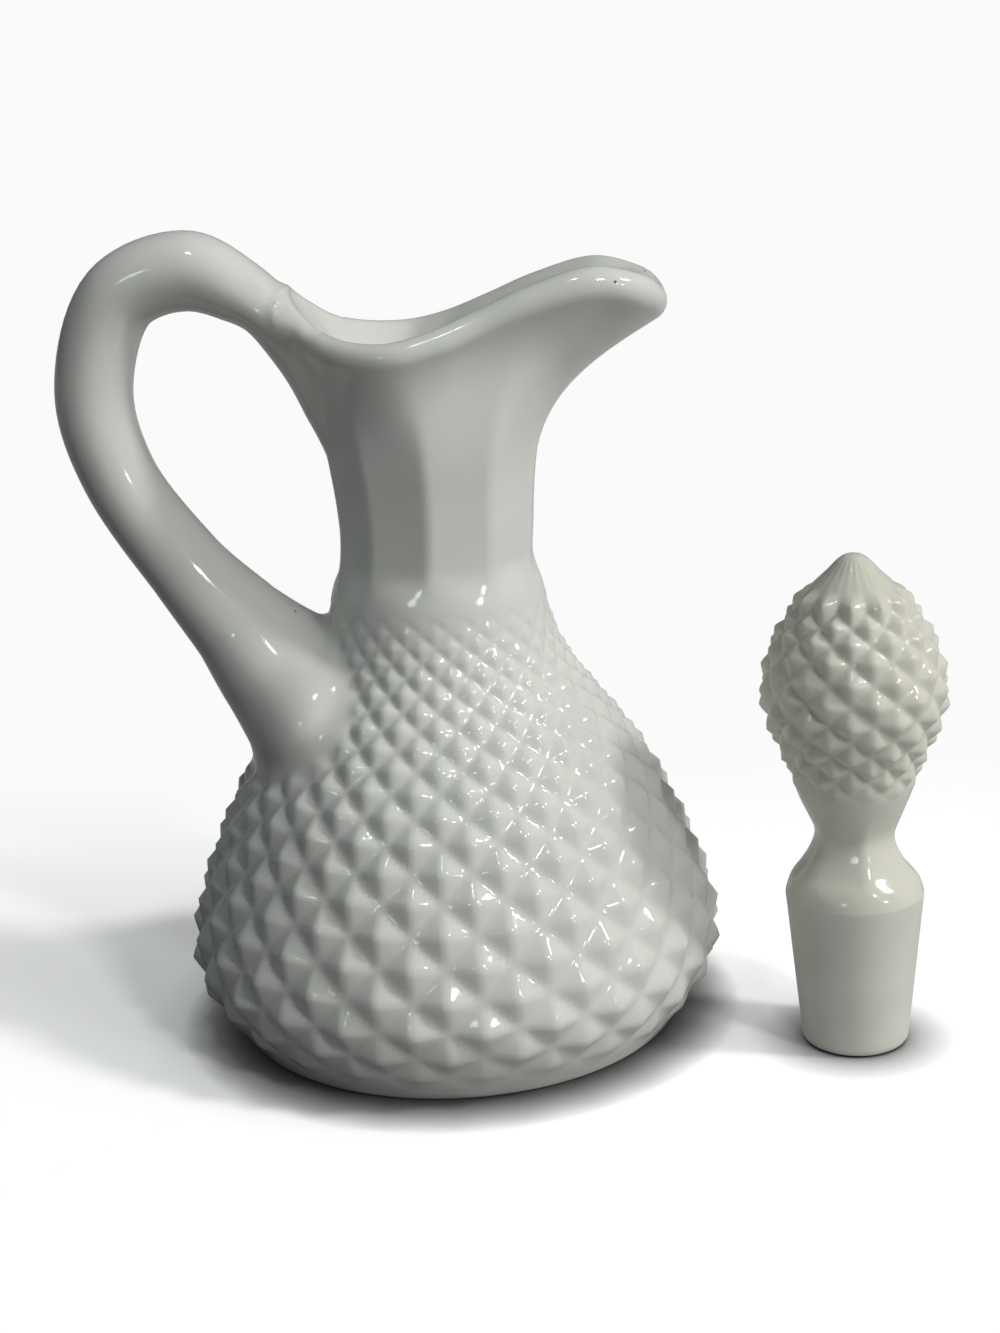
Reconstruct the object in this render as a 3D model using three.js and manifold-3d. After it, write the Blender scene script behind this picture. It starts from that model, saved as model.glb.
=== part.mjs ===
// A pressed milk-glass cruet with a loop handle and a pinched lip, and its ground stopper, which
// stands beside it. Millimetres, +Z up. The cruet's axis is the Z axis and it stands on z = 0,
// with the handle towards -X and the spout towards +X.
import * as THREE from "three";
import { mergeVertices } from "three/addons/utils/BufferGeometryUtils.js";
import Module from "manifold-3d";

// Cruet body, from the base up: diameters over the tips of the diamonds, and each one's rise above
// the one before it.
const BASE_D = 71.6;
const BASE_EDGE_R = 1.2;
const BAND_H = 3.9;
const BELLY_D = 86.8;
const BELLY_RISE = 15;
const FLANK_D = 69;
const FLANK_RISE = 25;
const SHOULDER_D = 41;
const SHOULDER_RISE = 20;
const COLLAR_D = 32.8;
const COLLAR_RISE = 12;
const COVE_RISE = 6.5;
const WALL = 4;
const FLOOR = 6.5;

// Diamond-point pattern of the belly. A diamond's proportion is its height over its width.
const DIAMOND_COLUMNS = 25;
const DIAMOND_PROPORTION = 0.936;
const DIAMOND_DEPTH = 1.9;
const DIAMOND_TURN = -80.3;
const DIAMOND_FADE = 9;
const PLAIN_BAND = 1;

// Neck: diameters across the corners of its flat panels, with the rise of each. Its outside leans
// a little towards the spout, and its wall reaches down inside the belly.
const NECK_PANELS = 10;
const NECK_D = 31.2;
const NECK_RISE = 10;
const NECK_LEAN = 0.6;
const NECK_BURY = 7;
const FLARE_D = 32.9;
const FLARE_RISE = 8;

// Lip: its crest line seen from above, and the rise of its saddle, its back and its spout.
const LIP_BEAD_R = 2.3;
const LIP_WIDTH = 35.2;
const LIP_BACK = 22;
const SADDLE_RISE = 21.3;
const BACK_RISE = 7.1;
const SPOUT_RISE = 9.2;
const SPOUT_DROOP = 3.2;
const SPOUT_REACH = 34.2;
const SPOUT_BEAD = 1.35;
const SPOUT_WIDTH = 21.2;
const THROAT_WIDTH = 25;

// Handle. Its tip runs down the back of the lip, and its root spreads over the shoulder.
const HANDLE_REACH = 58.2;
const HANDLE_RISE = 16.5;
const HANDLE_THICK = 12.2;
const HANDLE_WIDTH = 14;
const HANDLE_TIP = 6.2;
const ROOT_DROP = 4;
const ROOT_HEIGHT = 27;
const ROOT_WIDTH = 40;

// Stopper, from the plug up, with the rise of each diameter above the one before it.
const PLUG_LENGTH = 24.4;
const PLUG_END_D = 16.5;
const PLUG_EDGE_R = 1.4;
const RING_D = 21.1;
const RING_H = 0.9;
const WAIST_D = 12.7;
const WAIST_RISE = 9.6;
const WAIST_PANELS = 6;
const WAIST_FLAT = 0.6;
const FOOT_D = 17.6;
const FOOT_RISE = 6.5;
const FINIAL_D = 28.5;
const FINIAL_RISE = 13.5;
const CROWN_D = 26.1;
const CROWN_RISE = 9.8;
const CAP_D = 17.8;
const CAP_RISE = 7.2;
const TIP_RISE = 6.6;
const TIP_R = 2.4;
const CAP_FLUTE_DEPTH = 0.35;

// Diamond-point pattern of the finial.
const FINIAL_COLUMNS = 12;
const FINIAL_PROPORTION = 0.88;
const FINIAL_DEPTH = 1.4;
const FINIAL_TURN = -97.7;
const FINIAL_FADE = 6;

// Fit of the plug in the neck, and where the stopper stands.
const PLUG_CLEARANCE = 0.1;
const SOCKET_RELIEF = 0.4;
const SOCKET_RISE = 16.5;
const STAND_GAP = 7.6;
const STAND_TURN = -14.4;

// Facets round the turned bodies.
const TURN_FACETS = 48;

// Heights that follow from the rises.
const FLANK_Z = BELLY_RISE + FLANK_RISE;
const SHOULDER_Z = FLANK_Z + SHOULDER_RISE;
const COLLAR_Z = SHOULDER_Z + COLLAR_RISE;
const NECK_Z = COLLAR_Z + NECK_RISE;
const FLARE_Z = NECK_Z + FLARE_RISE;
const SADDLE_Z = FLARE_Z + SADDLE_RISE;
const BACK_Z = SADDLE_Z + BACK_RISE;
const SPOUT_Z = SADDLE_Z + SPOUT_RISE;
const HANDLE_TOP = SADDLE_Z + HANDLE_RISE;
const ROOT_Z = SHOULDER_Z - ROOT_DROP;
const SOCKET_TOP = NECK_Z + SOCKET_RISE;
const SOCKET_END = SOCKET_TOP - PLUG_LENGTH;
const WAIST_Z = PLUG_LENGTH + WAIST_RISE;
const FOOT_Z = WAIST_Z + FOOT_RISE;
const FINIAL_Z = FOOT_Z + FINIAL_RISE;
const CROWN_Z = FINIAL_Z + CROWN_RISE;
const CAP_Z = CROWN_Z + CAP_RISE;
const TIP_Z = CAP_Z + TIP_RISE;

const rad = THREE.MathUtils.degToRad;
const wasm = await Module();
wasm.setup();

// A point at an angle, in degrees, and a distance from the Z axis.
function around(angle, radius, z) {
  return new THREE.Vector3(radius * Math.cos(rad(angle)), radius * Math.sin(rad(angle)), z);
}

// One ring of points: radiusAt gives the radius at each column's angle.
function ring(columns, turn, z, radiusAt) {
  return Array.from({ length: columns }, (_, j) => {
    const angle = turn + (360 * j) / columns;
    return around(angle, radiusAt(angle, j), z);
  });
}

// A closed body through rings of points that climb and turn anticlockwise. A body that loops joins
// its last ring to its first; any other is closed by a flat fan at each end. splits says which way
// each four-sided cell is cut in two.
function loft(rings, { loops = false, splits = () => false } = {}) {
  const count = rings[0].length;
  const points = rings.flat();
  const index = [];
  const spans = loops ? rings.length : rings.length - 1;
  for (let i = 0; i < spans; i++) {
    const above = (i + 1) % rings.length;
    for (let j = 0; j < count; j++) {
      const next = (j + 1) % count;
      const a = i * count + j;
      const b = i * count + next;
      const c = above * count + next;
      const d = above * count + j;
      if (splits(i, j)) index.push(a, b, d, b, c, d);
      else index.push(a, b, c, a, c, d);
    }
  }
  if (!loops) {
    const low = points.length;
    points.push(middle(rings[0]), middle(rings.at(-1)));
    const top = (rings.length - 1) * count;
    for (let j = 0; j < count; j++) {
      const next = (j + 1) % count;
      index.push(low, next, j);
      index.push(low + 1, top + j, top + next);
    }
  }
  const geometry = new THREE.BufferGeometry().setFromPoints(points);
  geometry.setIndex(index);
  return geometry;
}

function middle(points) {
  const sum = points.reduce((total, p) => total.add(p), new THREE.Vector3());
  return sum.divideScalar(points.length);
}

// Booleans work on closed meshes that hold nothing but positions.
function solid(geometry) {
  const bare = geometry.clone();
  bare.deleteAttribute("normal");
  bare.deleteAttribute("uv");
  const merged = mergeVertices(bare, 1e-4);
  return new wasm.Manifold(
    new wasm.Mesh({
      numProp: 3,
      vertProperties: merged.attributes.position.array,
      triVerts: new Uint32Array(merged.index.array),
    }),
  );
}

function geometryOf(body) {
  const mesh = body.getMesh();
  const geometry = new THREE.BufferGeometry();
  geometry.setAttribute("position", new THREE.BufferAttribute(mesh.vertProperties, 3));
  geometry.setIndex(new THREE.BufferAttribute(mesh.triVerts, 1));
  geometry.computeVertexNormals();
  return geometry;
}

// A revolved body: radius and height pairs from the axis at the bottom to the axis at the top.
function turned(outline, segments) {
  const points = outline.map(([r, z]) => new THREE.Vector2(r, z));
  return new THREE.LatheGeometry(points, segments).rotateX(Math.PI / 2);
}

// The share of the corner radius that a flat panel keeps at an angle. A corner lies at turn.
function panel(angle, panels, turn) {
  const half = 180 / panels;
  const off = THREE.MathUtils.euclideanModulo(angle - turn, 2 * half) - half;
  return Math.cos(rad(half)) / Math.cos(rad(off));
}

// Rings of a diamond-point pattern along a profile of radius and height. Each half-row holds the
// points of one set of diamonds and the groove crossings of the other, and the steps between rows
// shrink with the radius, so all diamonds keep one proportion. depthAt gives the relief at a height.
function diamondRings(profile, fromZ, toZ, { columns, proportion, turn, depthAt }) {
  const length = profile.getLength();
  const end = shareAt(profile, toZ) * length;
  const rings = [];
  let along = shareAt(profile, fromZ) * length;
  while (along <= end) {
    const p = profile.getPointAt(along / length);
    const t = profile.getTangentAt(along / length);
    const depth = depthAt(p.y);
    const row = rings.length;
    rings.push(
      Array.from({ length: 2 * columns }, (_, j) => {
        const sunk = (row + j) % 2 ? depth : 0;
        return around(turn + (180 * j) / columns, p.x - sunk * t.y, p.y + sunk * t.x);
      }),
    );
    along += ((proportion * Math.PI) / columns) * p.x;
  }
  return rings;
}

// Cuts each cell of a diamond pattern along its groove, from crossing to crossing. The pattern
// starts at the ring numbered first.
function alongGrooves(first) {
  return (i, j) => (i - first + j) % 2 === 0;
}

// The share of the way along a profile at which it reaches a height, found by halving.
function shareAt(profile, z) {
  const halvings = 30;
  let low = 0;
  let high = 1;
  for (let i = 0; i < halvings; i++) {
    const mid = (low + high) / 2;
    if (profile.getPointAt(mid).y < z) low = mid;
    else high = mid;
  }
  return low;
}

const bellyProfile = new THREE.SplineCurve([
  new THREE.Vector2(BASE_D / 2, 0),
  new THREE.Vector2(BELLY_D / 2, BELLY_RISE),
  new THREE.Vector2(FLANK_D / 2, FLANK_Z),
  new THREE.Vector2(SHOULDER_D / 2, SHOULDER_Z),
  new THREE.Vector2(COLLAR_D / 2, COLLAR_Z),
]);
bellyProfile.arcLengthDivisions = 800;

// Base, plain band, diamonds and the cove above them, which the neck's panels die into.
function belly() {
  const columns = 2 * DIAMOND_COLUMNS;
  const plain = (z, r) => ring(columns, DIAMOND_TURN, z, () => r);
  const radiusAt = (z) => bellyProfile.getPointAt(shareAt(bellyProfile, z)).x;
  const plainZ = COLLAR_Z - PLAIN_BAND;
  const fade = (z) => 1 - THREE.MathUtils.smoothstep(z, plainZ - DIAMOND_FADE, plainZ);
  const mid = DIAMOND_DEPTH / 2;
  const diamonds = diamondRings(bellyProfile, BAND_H + mid, plainZ, {
    columns: DIAMOND_COLUMNS,
    proportion: DIAMOND_PROPORTION,
    turn: DIAMOND_TURN,
    depthAt: (z) => DIAMOND_DEPTH * (radiusAt(z) / (BELLY_D / 2)) * fade(z),
  });
  const below = [
    plain(0, BASE_D / 2 - BASE_EDGE_R),
    plain(BASE_EDGE_R, radiusAt(BASE_EDGE_R) - mid / 2),
    plain(BAND_H, radiusAt(BAND_H) - mid),
  ];
  const above = [
    plain(COLLAR_Z - PLAIN_BAND / 2, radiusAt(COLLAR_Z - PLAIN_BAND / 2)),
    ...[0, 0.2, 0.45, 0.75, 1].map((share) => plain(COLLAR_Z + share * COVE_RISE, coveRadius(share))),
  ];
  return solid(loft([...below, ...diamonds, ...above], { splits: alongGrooves(below.length) }));
}

// The cove's radius, from the collar up to just inside the middle of the neck's panels.
function coveRadius(share) {
  const top = (NECK_D / 2) * Math.cos(Math.PI / NECK_PANELS) * 0.995;
  return THREE.MathUtils.lerp(top, COLLAR_D / 2, (1 - share) ** 2);
}

// The lip's crest, from the spout's tip round one side to the back: x, y and z at each turn, as
// shares of the lip's reach, width and rise.
function crestCurve() {
  const wide = LIP_WIDTH / 2;
  const half = [
    [0, SPOUT_REACH, 0, SPOUT_Z - SPOUT_DROOP],
    [20, SPOUT_REACH * 0.95, SPOUT_WIDTH * 0.34, SPOUT_Z - SPOUT_DROOP * 0.45],
    [38, SPOUT_REACH * 0.77, SPOUT_WIDTH / 2, SPOUT_Z],
    [56, SPOUT_REACH / 2, THROAT_WIDTH / 2, SADDLE_Z + SPOUT_RISE * 0.76],
    [74, SPOUT_REACH * 0.27, THROAT_WIDTH * 0.28 + wide * 0.4, SADDLE_Z + SPOUT_RISE * 0.42],
    [90, SPOUT_REACH * 0.08, wide * 0.93, SADDLE_Z + SPOUT_RISE * 0.15],
    [106, -LIP_BACK * 0.16, wide, SADDLE_Z],
    [122, -LIP_BACK * 0.43, wide * 0.89, SADDLE_Z + BACK_RISE * 0.03],
    [140, -LIP_BACK * 0.69, wide * 0.63, SADDLE_Z + BACK_RISE * 0.27],
    [160, -LIP_BACK * 0.92, wide * 0.33, SADDLE_Z + BACK_RISE * 0.82],
    [180, -LIP_BACK, 0, BACK_Z],
  ];
  const back = half.slice(1, -1).reverse();
  const points = [...half, ...back.map(([turn, x, y, z]) => [360 - turn, x, -y, z])];
  const curve = new THREE.CatmullRomCurve3(
    points.map(([, x, y, z]) => new THREE.Vector3(x, y, z)),
    true,
  );
  const turns = [...points.map(([turn]) => turn), 360];
  return (angle) => {
    const a = THREE.MathUtils.euclideanModulo(angle, 360);
    const k = turns.findLastIndex((turn) => turn <= a);
    const t = (k + (a - turns[k]) / (turns[k + 1] - turns[k])) / points.length;
    return { point: curve.getPoint(t), out: outward(curve.getTangent(t)) };
  };
}

// The level direction to the outside of a line that turns anticlockwise.
function outward(tangent) {
  return new THREE.Vector3(tangent.y, -tangent.x, 0).normalize();
}

function socketRadius(z) {
  const taper = (RING_D - PLUG_END_D) / 2 / PLUG_LENGTH;
  return RING_D / 2 + PLUG_CLEARANCE - taper * (SOCKET_TOP - z);
}

// One upright section of the neck's wall at an angle: up the panelled outside, over the lip's bead
// and down the inside to the ground socket. The way up is steeper at the sides than at the spout.
function neckSection(angle, crest) {
  const { point, out } = crest(angle);
  const up = new THREE.Vector3(0, 0, 1);
  const spout = Math.max(0, Math.cos(rad(angle))) ** 2;
  const back = Math.max(0, -Math.cos(rad(angle))) ** 2;
  const beadR = LIP_BEAD_R * THREE.MathUtils.lerp(1, SPOUT_BEAD, spout);
  const centre = point.clone().addScaledVector(up, -beadR);
  const onBead = (degrees) =>
    centre
      .clone()
      .addScaledVector(out, beadR * Math.cos(rad(degrees)))
      .addScaledVector(up, beadR * Math.sin(rad(degrees)));
  const along = (degrees) =>
    new THREE.Vector3()
      .addScaledVector(out, -Math.sin(rad(degrees)))
      .addScaledVector(up, Math.cos(rad(degrees)));
  const corner = 180 / NECK_PANELS;
  const outside = (z, d, lean) => {
    const p = around(angle, (d / 2) * panel(angle, NECK_PANELS, corner), z);
    return p.add(new THREE.Vector3(lean, 0, 0));
  };
  const foot = outside(FLARE_Z, FLARE_D, NECK_LEAN);
  // Where the outside meets the bead and the inside leaves it, in degrees above level.
  const under = -40 - 35 * spout - 15 * back;
  const over = 150 - 38 * spout;
  const lip = onBead(under);
  const reach = foot.distanceTo(lip);
  const outer = new THREE.CubicBezierCurve3(
    foot,
    foot.clone().addScaledVector(up, reach * (0.45 - 0.2 * back - 0.05 * spout)),
    lip.clone().addScaledVector(along(under), -reach * (0.32 + 0.04 * spout)),
    lip,
  );
  const mouth = onBead(over);
  const seat = around(angle, socketRadius(SOCKET_TOP), SOCKET_TOP);
  const drop = mouth.distanceTo(seat);
  const inner = new THREE.CubicBezierCurve3(
    mouth,
    mouth.clone().addScaledVector(along(over), drop * 0.35),
    seat.clone().addScaledVector(up, drop * 0.35),
    seat,
  );
  const buried = COLLAR_Z - NECK_BURY;
  const section = [
    outside(buried, NECK_D, 0),
    outside(COLLAR_Z, NECK_D, 0),
    outside(NECK_Z, NECK_D, NECK_LEAN),
  ];
  section.push(...outer.getPoints(LIP_SPANS));
  for (let k = 1; k < LIP_SPANS; k++) {
    section.push(onBead(THREE.MathUtils.lerp(under, over, k / LIP_SPANS)));
  }
  section.push(...inner.getPoints(LIP_SPANS));
  section.push(around(angle, socketRadius(SOCKET_END), SOCKET_END));
  section.push(around(angle, socketRadius(SOCKET_END), buried));
  return { section, inner };
}

// Facets round the lip, with a corner of the panels on every sixth, and spans along its curves.
const LIP_COLUMNS = 6 * NECK_PANELS;
const LIP_SPANS = 5;

function neck() {
  const crest = crestCurve();
  const sections = Array.from({ length: LIP_COLUMNS }, (_, j) => {
    return neckSection((360 * j) / LIP_COLUMNS, crest).section;
  });
  const rings = sections[0].map((_, i) => sections.map((section) => section[i]));
  return solid(loft(rings, { loops: true }));
}

// The space inside the lip and the socket, and up past the handle's top. It reaches a little way
// into the wall, so what it cuts away ends inside the glass.
function mouthSpace() {
  const crest = crestCurve();
  const slack = LIP_BEAD_R / 4;
  const low = (z) => ring(LIP_COLUMNS, 0, z, () => socketRadius(z) + slack);
  const rings = [low(COLLAR_Z + COVE_RISE)];
  for (let k = LIP_SPANS; k >= 0; k--) {
    rings.push(
      Array.from({ length: LIP_COLUMNS }, (_, j) => {
        const angle = (360 * j) / LIP_COLUMNS;
        const { inner } = neckSection(angle, crest);
        return inner.getPoint(k / LIP_SPANS).addScaledVector(crest(angle).out, slack);
      }),
    );
  }
  rings.push(rings.at(-1).map((p) => new THREE.Vector3(p.x, p.y, HANDLE_TOP + HANDLE_THICK)));
  return solid(loft(rings));
}

// The hollow of the belly, up to just inside the socket's lower end.
function bellySpace() {
  const skin = DIAMOND_DEPTH + WALL;
  const throat = socketRadius(SOCKET_END) + SOCKET_RELIEF;
  const outline = [
    [0, FLOOR],
    [BASE_D / 2 - 2 * skin, FLOOR],
  ];
  const steps = 12;
  const from = shareAt(bellyProfile, FLOOR + WALL);
  for (let k = 0; k <= steps; k++) {
    const share = from + ((1 - from) * k) / steps;
    const p = bellyProfile.getPointAt(share);
    const t = bellyProfile.getTangentAt(share);
    outline.push([Math.max(p.x - skin * t.y, throat), p.y + skin * t.x]);
  }
  outline.push([throat, SOCKET_END - SOCKET_RELIEF]);
  outline.push([0, SOCKET_END - SOCKET_RELIEF]);
  return solid(turned(outline, TURN_FACETS));
}

// The handle's centre line leaves the back of the lip, loops out and comes down into the shoulder.
// Each station has its distance from the axis, its height, and half its thickness and width there.
// Between its ends a station's place is a share of the loop's reach and rise, and at the root it
// is a share of the root's height.
function handleStations() {
  const out = HANDLE_REACH - HANDLE_THICK / 2;
  const top = HANDLE_TOP - HANDLE_THICK / 2;
  const near = NECK_D / 2;
  const at = (u, v, thick, wide) => [
    THREE.MathUtils.lerp(near, out, u),
    THREE.MathUtils.lerp(ROOT_Z, top, v),
    (thick * HANDLE_THICK) / 2,
    (wide * HANDLE_WIDTH) / 2,
  ];
  const root = (u, v, thick, wide) => [
    SHOULDER_D / 2 + u * ROOT_HEIGHT,
    ROOT_Z + v * ROOT_HEIGHT,
    (thick * ROOT_HEIGHT) / 2,
    (wide * ROOT_WIDTH) / 2,
  ];
  // At the lip it runs inside the glass, a little way in from the outside and below the crest.
  const tip = (x, z, thick, wide) => [
    x - 1.1 * LIP_BEAD_R,
    z - 1.5 * LIP_BEAD_R,
    (thick * HANDLE_TIP) / 2,
    (wide * HANDLE_WIDTH) / 2,
  ];
  return [
    tip(NECK_D / 2 + LIP_BEAD_R / 2, SOCKET_TOP + 2 * LIP_BEAD_R, 0.76, 0.6),
    tip(LIP_BACK, SADDLE_Z, 0.96, 1),
    tip(LIP_BACK + 1.8 * LIP_BEAD_R, BACK_Z, 1.32, 1.16),
    at(0.34, 0.95, 0.82, 1.02),
    at(0.56, 1, 1, 1),
    at(0.845, 0.945, 0.98, 1),
    at(0.99, 0.73, 0.98, 1),
    at(0.917, 0.53, 0.95, 1),
    at(0.662, 0.303, 1.03, 1.1),
    at(0.456, 0.16, 1.28, 1.35),
    root(0.235, 0.15, 0.73, 0.68),
    root(0, -0.09, 0.94, 1),
    root(-0.18, -0.3, 0.97, 1),
  ];
}

function handle() {
  const stations = handleStations();
  const line = new THREE.CatmullRomCurve3(stations.map(([x, z]) => new THREE.Vector3(-x, 0, z)));
  const size = new THREE.CatmullRomCurve3(stations.map(([, , a, b]) => new THREE.Vector3(a, b, 0)));
  const spans = 3 * (stations.length - 1);
  const sides = 20;
  const across = new THREE.Vector3(0, 1, 0);
  const rings = [];
  for (let i = 0; i <= spans; i++) {
    const centre = line.getPoint(i / spans);
    const thick = new THREE.Vector3().crossVectors(line.getTangent(i / spans), across);
    const half = size.getPoint(i / spans);
    rings.push(
      Array.from({ length: sides }, (_, j) => {
        const a = (2 * Math.PI * j) / sides;
        return centre
          .clone()
          .addScaledVector(thick, half.x * Math.sin(a))
          .addScaledVector(across, half.y * Math.cos(a));
      }),
    );
  }
  return solid(loft(rings));
}

// The collar is open in the middle, where the neck's wall comes down into it.
function collarSpace() {
  const r = socketRadius(SOCKET_END) + WALL / 2;
  const low = COLLAR_Z - NECK_BURY / 2;
  const high = COLLAR_Z + COVE_RISE + WALL;
  const outline = [
    [0, low],
    [r, low],
    [r, high],
    [0, high],
  ];
  return solid(turned(outline, TURN_FACETS));
}

function cruet() {
  const bottle = belly().subtract(collarSpace()).add(neck());
  return bottle.add(handle().subtract(mouthSpace())).subtract(bellySpace());
}

// The ground plug with the polished ring above it.
function plug() {
  const flat = PLUG_END_D / 2 - PLUG_EDGE_R;
  const outline = [[0, 0]];
  for (let degrees = 0; degrees <= 90; degrees += 30) {
    const r = flat + PLUG_EDGE_R * Math.sin(rad(degrees));
    outline.push([r, PLUG_EDGE_R * (1 - Math.cos(rad(degrees)))]);
  }
  outline.push(
    [RING_D / 2, PLUG_LENGTH],
    [RING_D / 2, PLUG_LENGTH + RING_H / 2],
    [RING_D / 2 - RING_H / 2, PLUG_LENGTH + RING_H],
    [0, PLUG_LENGTH + RING_H],
  );
  return solid(turned(outline, TURN_FACETS));
}

const finialProfile = new THREE.SplineCurve([
  new THREE.Vector2(WAIST_D / 2, WAIST_Z),
  new THREE.Vector2(FOOT_D / 2, FOOT_Z),
  new THREE.Vector2(FINIAL_D / 2, FINIAL_Z),
  new THREE.Vector2(CROWN_D / 2, CROWN_Z),
  new THREE.Vector2(CAP_D / 2, CAP_Z),
]);
finialProfile.arcLengthDivisions = 400;

// Panelled shoulder and waist, diamond-point bulb and fluted, pointed cap.
function head() {
  const columns = 2 * FINIAL_COLUMNS;
  const corner = FINIAL_TURN + 180 / FINIAL_COLUMNS;
  const panelled = (z, d, flat) =>
    ring(columns, FINIAL_TURN, z, (angle) => {
      const share = THREE.MathUtils.lerp(1, panel(angle, WAIST_PANELS, corner), flat);
      return (d / 2) * share;
    });
  const slope = (share) => THREE.MathUtils.lerp(RING_D, WAIST_D, share);
  const ringTop = PLUG_LENGTH + RING_H;
  const rise = WAIST_Z - ringTop;
  const foot = shareAt(finialProfile, FOOT_Z);
  const stem = [1 / 3, 2 / 3].map((share) => {
    const p = finialProfile.getPointAt(foot * share);
    return panelled(p.y, 2 * p.x, WAIST_FLAT * (1 - share));
  });
  const shoulder = [
    panelled(PLUG_LENGTH, RING_D - 2 * RING_H, 0),
    panelled(ringTop, RING_D - RING_H, 0),
    panelled(ringTop + rise * 0.2, slope(0.24), WAIST_FLAT / 2),
    panelled(ringTop + rise * 0.45, slope(0.68), WAIST_FLAT),
    panelled(ringTop + rise * 0.72, slope(0.93), WAIST_FLAT),
    panelled(WAIST_Z, WAIST_D, WAIST_FLAT),
    ...stem,
  ];
  const diamonds = diamondRings(finialProfile, FOOT_Z, CAP_Z, {
    columns: FINIAL_COLUMNS,
    proportion: FINIAL_PROPORTION,
    turn: FINIAL_TURN,
    depthAt: (z) => FINIAL_DEPTH * THREE.MathUtils.smoothstep(z, FOOT_Z, FOOT_Z + FINIAL_FADE),
  });
  const top = diamonds.at(-1)[0];
  const topR = Math.hypot(top.x, top.y);
  const fluted = (share) =>
    ring(columns, FINIAL_TURN, THREE.MathUtils.lerp(top.z, TIP_Z - TIP_R * 0.4, share), (_, j) => {
      const r = THREE.MathUtils.lerp(topR, TIP_R, share);
      return j % 2 ? r - CAP_FLUTE_DEPTH * (1 - share) : r;
    });
  const cap = [
    fluted(0.3),
    fluted(0.65),
    fluted(1),
    ring(columns, FINIAL_TURN, TIP_Z - TIP_R * 0.1, () => TIP_R * 0.55),
    ring(columns, FINIAL_TURN, TIP_Z, () => TIP_R * 0.15),
  ];
  return solid(loft([...shoulder, ...diamonds, ...cap], { splits: alongGrooves(shoulder.length) }));
}

function stopper() {
  return plug().add(head());
}

const milkGlass = new THREE.MeshStandardMaterial({ color: 0xe6e9e3, roughness: 0.12, metalness: 0 });
const ivoryGlass = new THREE.MeshStandardMaterial({ color: 0xe4e4da, roughness: 0.18, metalness: 0 });

function named(name, geometry, material) {
  const mesh = new THREE.Mesh(geometry, material);
  mesh.name = name;
  return mesh;
}

const part = new THREE.Group();
part.add(named("cruet", geometryOf(cruet()), milkGlass));

// The stopper stands on its plug beside the belly, on the spout's side.
const standing = named("stopper", geometryOf(stopper()), ivoryGlass);
standing.position.copy(around(STAND_TURN, BELLY_D / 2 + STAND_GAP + FINIAL_D / 2, 0));
part.add(standing);

export default part;
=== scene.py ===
from math import cos, degrees, hypot, pi, radians, sin, sqrt, tan

import bmesh
import bpy
from mathutils import Matrix, Vector
from mathutils.bvhtree import BVHTree
from mathutils.geometry import interpolate_bezier
from mathutils.kdtree import KDTree


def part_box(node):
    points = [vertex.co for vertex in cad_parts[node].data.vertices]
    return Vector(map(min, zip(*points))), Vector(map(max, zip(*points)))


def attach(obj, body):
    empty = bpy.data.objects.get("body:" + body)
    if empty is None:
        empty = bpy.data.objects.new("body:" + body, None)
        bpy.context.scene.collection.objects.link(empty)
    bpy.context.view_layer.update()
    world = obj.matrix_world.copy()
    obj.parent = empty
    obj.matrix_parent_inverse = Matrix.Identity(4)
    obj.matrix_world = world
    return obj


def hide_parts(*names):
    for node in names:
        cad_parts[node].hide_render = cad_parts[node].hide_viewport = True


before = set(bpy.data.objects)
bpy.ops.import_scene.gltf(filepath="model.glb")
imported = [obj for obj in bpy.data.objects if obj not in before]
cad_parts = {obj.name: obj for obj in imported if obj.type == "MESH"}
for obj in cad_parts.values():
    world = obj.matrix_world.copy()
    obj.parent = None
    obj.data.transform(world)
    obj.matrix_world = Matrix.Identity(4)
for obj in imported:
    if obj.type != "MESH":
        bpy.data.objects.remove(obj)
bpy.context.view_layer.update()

# Sizes are in millimetres unless a comment says otherwise, and MM turns them into metres.
MM = 0.001
CRUET_LOW, CRUET_HIGH = (Vector(corner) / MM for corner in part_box("cruet"))
STOPPER_LOW, STOPPER_HIGH = (Vector(corner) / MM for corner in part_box("stopper"))

# Cruet body, from the base up: radius over the tips of the diamonds, and height. A plain band
# stands on the base's rounded edge, and above the collar a cove leads into the neck.
BASE_R = 35.8
BASE_EDGE_R = 1.2
BAND_H = 3.9
BELLY_R = 43.4
BELLY_Z = 15
FLANK_R = 34.5
FLANK_Z = 40
SHOULDER_R = 20.5
SHOULDER_Z = 60
COLLAR_R = 16.4
COLLAR_Z = 72
COVE_RISE = 5.5
WALL = 4
FLOOR = 6.5

# Diamond-point pattern of the belly: height to width of a diamond, depth, and the angle of a column
# of tips. It has BAND_DEPTH of its depth on the band and all of it at FULL_DEPTH_Z. It fades out
# over DIAMOND_FADE below PLAIN_Z, and a higher FADE_BEND makes that later.
DIAMOND_COLUMNS = 25
DIAMOND_PROPORTION = 0.936
DIAMOND_DEPTH = 1.9
DIAMOND_TURN = -80.4
BAND_DEPTH = 0.6
FULL_DEPTH_Z = BELLY_Z + 3
DIAMOND_FADE = 11.5
FADE_BEND = 1.4
PLAIN_Z = 70.5

# How the lowest diamonds come out of the band: between which places in the pattern, in half-rows
# from its first row, and how far the band lies under the tips.
PATTERN_START = -0.9
PATTERN_FULL = 0.6
BAND_SUNK = DIAMOND_DEPTH / 2 * 0.9

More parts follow.
